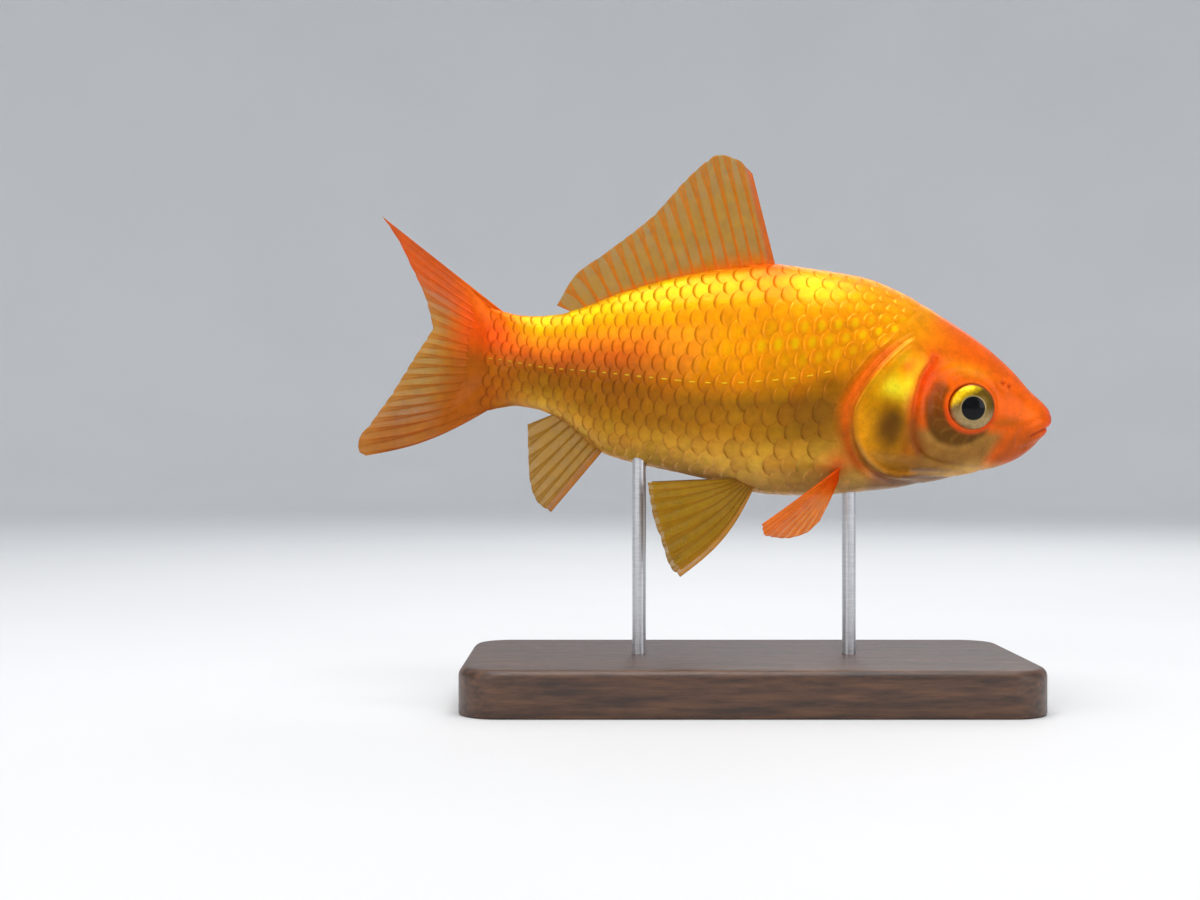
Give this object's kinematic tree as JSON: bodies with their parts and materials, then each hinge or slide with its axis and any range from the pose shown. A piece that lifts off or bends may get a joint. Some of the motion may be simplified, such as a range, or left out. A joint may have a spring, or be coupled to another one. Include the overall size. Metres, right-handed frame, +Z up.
{
  "type": "goldfish display model",
  "caption": "Still, life-size common goldfish with spread fins and forked tail, held swimming above a flat display base by slim rods.",
  "frame": {"origin": "centre of the stand's underside, on the surface it rests on", "axes": "+Z up, +X the way the fish swims and its snout points, +Y towards the fish's left side"},
  "size_m": [0.124, 0.046, 0.0962],
  "materials": {
    "head_skin": "satin skin, orange-red",
    "gill_cover_skin": "satin skin with a gold sheen",
    "scaled_skin": "scaled skin, gold-orange with a metallic sheen",
    "fin": "thin, translucent membrane between bony rays",
    "eye": "wet gloss, gold iris and black pupil",
    "stand_wood": "dark, satin varnish",
    "stand_steel": "brushed"
  },
  "bodies": {
    "root": {"head": "head_skin", "lower_jaw": "head_skin", "gill_cover_left": "gill_cover_skin", "gill_cover_right": "gill_cover_skin", "eye_left": "eye", "eye_right": "eye", "trunk": "scaled_skin", "tail": "scaled_skin", "dorsal_fin": "fin", "anal_fin": "fin", "tail_fin_upper": "fin", "tail_fin_lower": "fin", "pelvic_fin_left": "fin", "pelvic_fin_right": "fin", "pectoral_fin_left": "fin", "pectoral_fin_right": "fin", "stand_base": "stand_wood", "stand_rod_front": "stand_steel", "stand_rod_rear": "stand_steel"}
  },
  "joints": []
}
